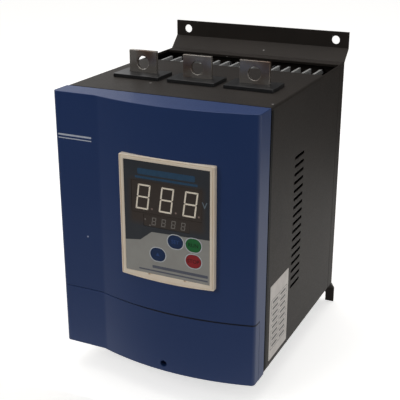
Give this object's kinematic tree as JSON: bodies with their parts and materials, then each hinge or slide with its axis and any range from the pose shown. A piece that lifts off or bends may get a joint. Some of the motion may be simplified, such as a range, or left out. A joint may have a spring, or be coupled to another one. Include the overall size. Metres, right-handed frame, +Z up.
{
  "type": "soft starter",
  "caption": "Wall-mounted motor soft starter: black steel case, bulged blue front with display unit and oval keys, copper terminal tabs and flanges.",
  "frame": {"origin": "midway between the two upper wall holes, on the wall plane", "axes": "+Z up, +X to the right seen from the front, +Y into the wall"},
  "size_m": [0.206, 0.2687, 0.319],
  "materials": {
    "case_powder_coat": "fine-textured black powder coat on folded steel sheet",
    "cover_blue": "moulded ABS, fine spark-eroded texture, navy blue",
    "bezel_cream": "moulded ABS, satin cream",
    "overlay_print": "screen-printed polyester overlay",
    "display_face": "black potted LED display face",
    "key_blue": "printed and domed polyester key",
    "key_green": "printed and domed polyester key",
    "key_red": "printed and domed polyester key",
    "tinned_copper": "tinned copper bar, slightly stained",
    "phenolic_black": "black phenolic insulating board",
    "heat_sink_aluminium": "extruded aluminium, mill finish",
    "module_epoxy": "moulded module case on a nickel-plated base",
    "zinc_steel": "zinc-plated steel",
    "board_green": "fibreglass board with green solder resist",
    "component_plastic": "moulded component cases",
    "terminal_green": "moulded terminal block",
    "ribbon_grey": "grey ribbon cable"
  },
  "bodies": {
    "housing": {"case_wrap": "case_powder_coat", "rear_tray": "case_powder_coat", "bottom_plate": "case_powder_coat", "upper_bracket": "case_powder_coat", "lower_bracket": "case_powder_coat", "bottom_plate_screws": "zinc_steel", "bracket_screws": "zinc_steel", "chassis_plate": "zinc_steel", "chassis_screws": "zinc_steel", "front_cover_screws": "zinc_steel", "terminal_cover_screw": "zinc_steel", "keypad_screws": "zinc_steel", "bar_screws": "zinc_steel", "heat_sink_angle_left": "zinc_steel", "heat_sink_angle_right": "zinc_steel", "heat_sink_screws": "zinc_steel", "module_screws": "zinc_steel", "board_spacers": "zinc_steel", "board_screws": "zinc_steel", "thermal_switch": "zinc_steel", "front_cover": "cover_blue", "terminal_cover": "cover_blue", "display_housing": "bezel_cream", "display_back": "bezel_cream", "overlay_panel": "overlay_print", "large_display": "display_face", "small_display": "display_face", "key_switches": "component_plastic", "relays": "component_plastic", "pulse_transformers": "component_plastic", "capacitors": "component_plastic", "supply_transformer": "component_plastic", "current_transformer_1": "component_plastic", "current_transformer_2": "component_plastic", "current_transformer_3": "component_plastic", "keypad_board": "board_green", "control_board": "board_green", "display_lead": "ribbon_grey", "line_bar_1": "tinned_copper", "line_bar_2": "tinned_copper", "line_bar_3": "tinned_copper", "load_bar_1": "tinned_copper", "load_bar_2": "tinned_copper", "load_bar_3": "tinned_copper", "line_pad_1": "phenolic_black", "line_pad_2": "phenolic_black", "line_pad_3": "phenolic_black", "load_pad_1": "phenolic_black", "load_pad_2": "phenolic_black", "load_pad_3": "phenolic_black", "heat_sink": "heat_sink_aluminium", "thyristor_module_1": "module_epoxy", "thyristor_module_2": "module_epoxy", "thyristor_module_3": "module_epoxy", "control_terminal_block": "terminal_green"},
    "set_button": {"key_set": "key_blue"},
    "shift_button": {"key_shift": "key_blue"},
    "run_button": {"key_run": "key_green"},
    "stop_button": {"key_stop": "key_red"}
  },
  "joints": [
    {"name": "set_press", "type": "slide", "parent": "housing", "child": "set_button", "axis": [0, 1, 0], "range_m": [0, 0.0005], "stiffness_N_per_m": 3000},
    {"name": "shift_press", "type": "slide", "parent": "housing", "child": "shift_button", "axis": [0, 1, 0], "range_m": [0, 0.0005], "stiffness_N_per_m": 3000},
    {"name": "run_press", "type": "slide", "parent": "housing", "child": "run_button", "axis": [0, 1, 0], "range_m": [0, 0.0005], "stiffness_N_per_m": 3000},
    {"name": "stop_press", "type": "slide", "parent": "housing", "child": "stop_button", "axis": [0, 1, 0], "range_m": [0, 0.0005], "stiffness_N_per_m": 3000}
  ]
}
